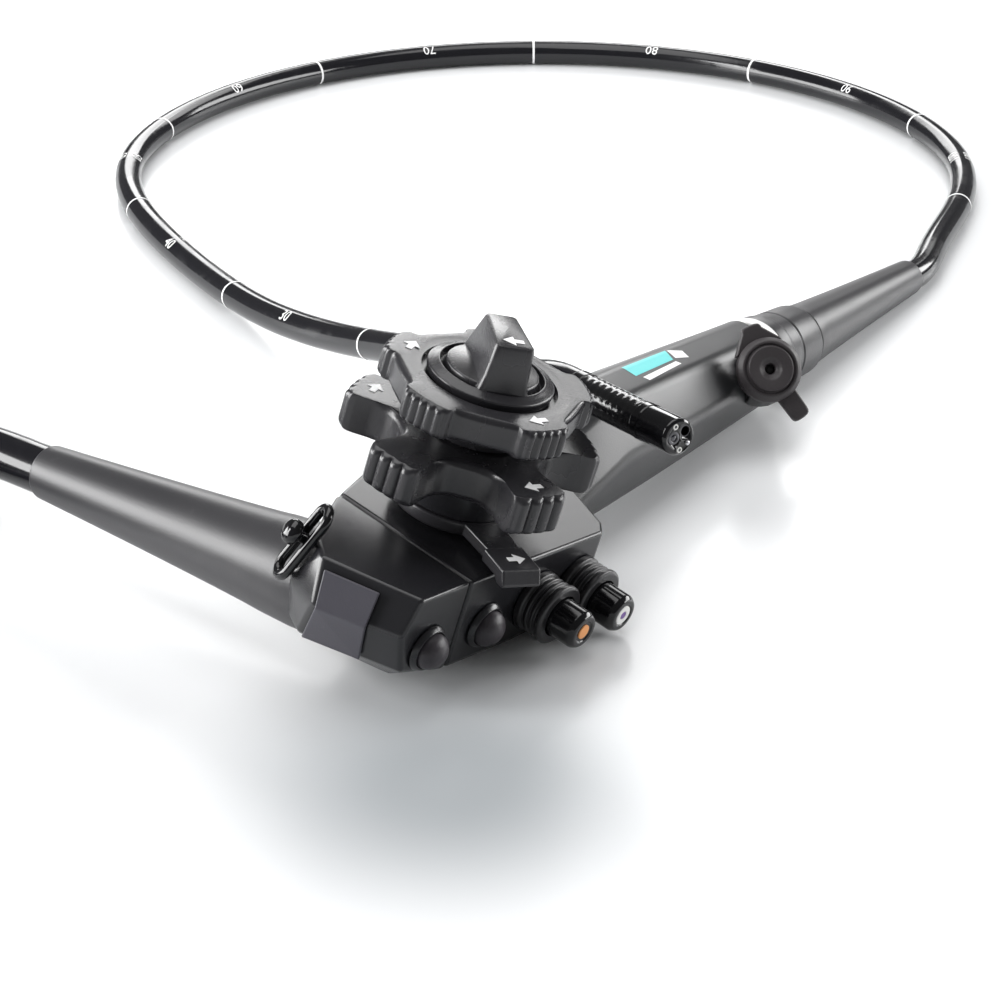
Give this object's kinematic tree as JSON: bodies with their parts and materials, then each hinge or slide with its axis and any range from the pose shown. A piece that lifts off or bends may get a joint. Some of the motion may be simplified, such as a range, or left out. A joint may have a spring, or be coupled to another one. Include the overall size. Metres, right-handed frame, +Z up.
{
  "type": "flexible endoscope",
  "caption": "Flexible gastroscope with faceted control head, two lobed angulation wheels, valves, grip, channel port, tapering boots, long insertion tube and bending tip.",
  "frame": {"origin": "on the table, under the centre of the instrument's box without its cords", "axes": "+Z up from the table; +X from the head along the grip towards the insertion tube; +Y from the valves towards the universal cord"},
  "size_m": [0.6639, 0.4197, 0.0883],
  "materials": {
    "boot_rubber": "dark grey satin rubber boot",
    "brass": "turned brass",
    "button_rubber": "dark purplish grey silicone rubber",
    "glass": "dark coated lens",
    "gloss_black": "glossy black polymer skin",
    "grip_black": "satin black grip shell",
    "housing_black": "satin near-black moulded housing",
    "light_white": "polished fibre end",
    "port_rubber": "warm dark grey rubber",
    "ring_white": "white plastic ring",
    "steel": "stainless steel",
    "wheel_grey": "dark grey soft-touch plastic"
  },
  "bodies": {
    "body": {"air_pipe": "steel", "air_water_valve_collar": "gloss_black", "air_water_valve_cylinder": "steel", "brake_housing": "housing_black", "capture_button_collar": "button_rubber", "centre_post": "steel", "chassis_plate": "steel", "connector_body": "housing_black", "connector_boot": "boot_rubber", "connector_ring": "steel", "cord_boot": "boot_rubber", "cord_coil": "gloss_black", "cord_socket": "housing_black", "end_panel": "wheel_grey", "freeze_button_collar": "button_rubber", "grip_collar": "boot_rubber", "grip_ring": "ring_white", "grip_shell": "grip_black", "hanger_bracket": "gloss_black", "head_end_cover": "housing_black", "head_shell": "housing_black", "insertion_boot": "boot_rubber", "insertion_tube": "gloss_black", "light_guide_pin": "steel", "port_boss": "grip_black", "port_tube": "steel", "suction_valve_collar": "gloss_black", "suction_valve_cylinder": "steel", "tube_ferrule": "gloss_black", "universal_cord": "gloss_black"},
    "ud_wheel": {"ud_wheel": "wheel_grey", "ud_drum_shaft": "brass"},
    "rl_wheel": {"rl_wheel": "wheel_grey", "rl_drum_shaft": "brass"},
    "rl_brake": {"rl_brake_knob": "wheel_grey"},
    "ud_brake": {"ud_brake_lever": "wheel_grey"},
    "freeze_button": {"freeze_button": "button_rubber"},
    "capture_button": {"capture_button": "button_rubber"},
    "suction_valve": {"suction_valve": "gloss_black"},
    "air_water_valve": {"air_water_valve": "gloss_black"},
    "port_cap": {"port_cap": "port_rubber"},
    "hanger_ring": {"hanger_ring": "gloss_black"},
    "up_wire": {"up_wire": "steel"},
    "down_wire": {"down_wire": "steel"},
    "left_wire": {"left_wire": "steel"},
    "right_wire": {"right_wire": "steel"},
    "bend_1": {"bending_link_1": "steel"},
    "bend_2": {"bending_link_2": "steel"},
    "bend_3": {"bending_link_3": "steel"},
    "bend_4": {"bending_link_4": "steel"},
    "bend_5": {"bending_link_5": "steel"},
    "bend_6": {"bending_link_6": "steel"},
    "bend_7": {"bending_link_7": "steel"},
    "tip": {"distal_tip": "gloss_black", "objective_lens": "glass", "light_guide_upper": "light_white", "light_guide_lower": "light_white", "water_nozzle": "steel"}
  },
  "joints": [
    {"name": "ud_turn", "type": "hinge", "parent": "body", "child": "ud_wheel", "pos_m": [-0.11661, -0.032, 0.03374], "axis": [0.1273, -0.2421, 0.9619], "range_deg": [-45, 90]},
    {"name": "rl_turn", "type": "hinge", "parent": "body", "child": "rl_wheel", "pos_m": [-0.11661, -0.032, 0.03374], "axis": [0.1273, -0.2421, 0.9619], "range_deg": [-50, 50]},
    {"name": "rl_brake_turn", "type": "hinge", "parent": "body", "child": "rl_brake", "pos_m": [-0.11661, -0.032, 0.03374], "axis": [0.1273, -0.2421, 0.9619], "range_deg": [0, 60]},
    {"name": "ud_brake_turn", "type": "hinge", "parent": "body", "child": "ud_brake", "pos_m": [-0.11661, -0.032, 0.03374], "axis": [0.1273, -0.2421, 0.9619], "range_deg": [0, 45]},
    {"name": "up_wire_pull", "type": "slide", "parent": "body", "child": "up_wire", "axis": [-0.9914, 0, 0.1312], "range_m": [-0.0045, 0.0085]},
    {"name": "down_wire_pull", "type": "slide", "parent": "body", "child": "down_wire", "axis": [0.9914, 0, -0.1312], "range_m": [-0.0045, 0.0085]},
    {"name": "right_wire_pull", "type": "slide", "parent": "body", "child": "right_wire", "axis": [-0.9914, 0, 0.1312], "range_m": [-0.005, 0.005]},
    {"name": "left_wire_pull", "type": "slide", "parent": "body", "child": "left_wire", "axis": [0.9914, 0, -0.1312], "range_m": [-0.005, 0.005]},
    {"name": "freeze_button_press", "type": "slide", "parent": "body", "child": "freeze_button", "axis": [0.0318, 0.9703, 0.24], "range_m": [0, 0.0012], "stiffness_N_per_m": 800, "springref_m": -0.0006},
    {"name": "capture_button_press", "type": "slide", "parent": "body", "child": "capture_button", "axis": [0.0318, 0.9703, 0.24], "range_m": [0, 0.0012], "stiffness_N_per_m": 800, "springref_m": -0.0006},
    {"name": "suction_valve_press", "type": "slide", "parent": "body", "child": "suction_valve", "axis": [0.0318, 0.9703, 0.24], "range_m": [0, 0.004], "stiffness_N_per_m": 400, "springref_m": -0.002},
    {"name": "air_water_valve_press", "type": "slide", "parent": "body", "child": "air_water_valve", "axis": [0.0318, 0.9703, 0.24], "range_m": [0, 0.004], "stiffness_N_per_m": 400, "springref_m": -0.002},
    {"name": "port_cap_pull", "type": "slide", "parent": "body", "child": "port_cap", "axis": [-0.5991, -0.6209, 0.5055], "range_m": [0, 0.01]},
    {"name": "hanger_swing", "type": "hinge", "parent": "body", "child": "hanger_ring", "pos_m": [-0.16221, -0.02342, 0.04075], "axis": [-0.6501, 0.4569, 0.6072], "range_deg": [-20, 20]},
    {"name": "bend_1_turn", "type": "hinge", "parent": "body", "child": "bend_1", "pos_m": [-0.07355, -0.04616, 0.05589], "axis": [-0.9478, 0.3189, 0], "range_deg": [-11.25, 22.5]},
    {"name": "bend_2_turn", "type": "hinge", "parent": "bend_1", "child": "bend_2", "pos_m": [-0.07455, -0.04911, 0.05605], "axis": [-0.9478, 0.3189, 0], "range_deg": [-11.25, 22.5]},
    {"name": "bend_3_turn", "type": "hinge", "parent": "bend_2", "child": "bend_3", "pos_m": [-0.07554, -0.05207, 0.05621], "axis": [-0.9478, 0.3189, 0], "range_deg": [-11.25, 22.5]},
    {"name": "bend_4_turn", "type": "hinge", "parent": "bend_3", "child": "bend_4", "pos_m": [-0.07654, -0.05503, 0.05636], "axis": [-0.9478, 0.3189, 0], "range_deg": [-11.25, 22.5]},
    {"name": "bend_5_turn", "type": "hinge", "parent": "bend_4", "child": "bend_5", "pos_m": [-0.07753, -0.05799, 0.05652], "axis": [-0.9478, 0.3189, 0], "range_deg": [-11.25, 22.5]},
    {"name": "bend_6_turn", "type": "hinge", "parent": "bend_5", "child": "bend_6", "pos_m": [-0.07853, -0.06095, 0.05668], "axis": [-0.9478, 0.3189, 0], "range_deg": [-11.25, 22.5]},
    {"name": "bend_7_turn", "type": "hinge", "parent": "bend_6", "child": "bend_7", "pos_m": [-0.07952, -0.0639, 0.05684], "axis": [-0.9478, 0.3189, 0], "range_deg": [-11.25, 22.5]},
    {"name": "bend_8_turn", "type": "hinge", "parent": "bend_7", "child": "tip", "pos_m": [-0.08052, -0.06686, 0.057], "axis": [-0.9478, 0.3189, 0], "range_deg": [-11.25, 22.5]}
  ],
  "couplings": [
    {"joint": "bend_1_turn", "follows": "ud_turn", "ratio": 0.25},
    {"joint": "bend_2_turn", "follows": "ud_turn", "ratio": 0.25},
    {"joint": "bend_3_turn", "follows": "ud_turn", "ratio": 0.25},
    {"joint": "bend_4_turn", "follows": "ud_turn", "ratio": 0.25},
    {"joint": "bend_5_turn", "follows": "ud_turn", "ratio": 0.25},
    {"joint": "bend_6_turn", "follows": "ud_turn", "ratio": 0.25},
    {"joint": "bend_7_turn", "follows": "ud_turn", "ratio": 0.25},
    {"joint": "bend_8_turn", "follows": "ud_turn", "ratio": 0.25},
    {"joint": "up_wire_pull", "follows": "ud_turn", "m_per_rad": 0.00515},
    {"joint": "down_wire_pull", "follows": "ud_turn", "m_per_rad": 0.00515},
    {"joint": "right_wire_pull", "follows": "rl_turn", "m_per_rad": 0.00515},
    {"joint": "left_wire_pull", "follows": "rl_turn", "m_per_rad": 0.00515}
  ]
}
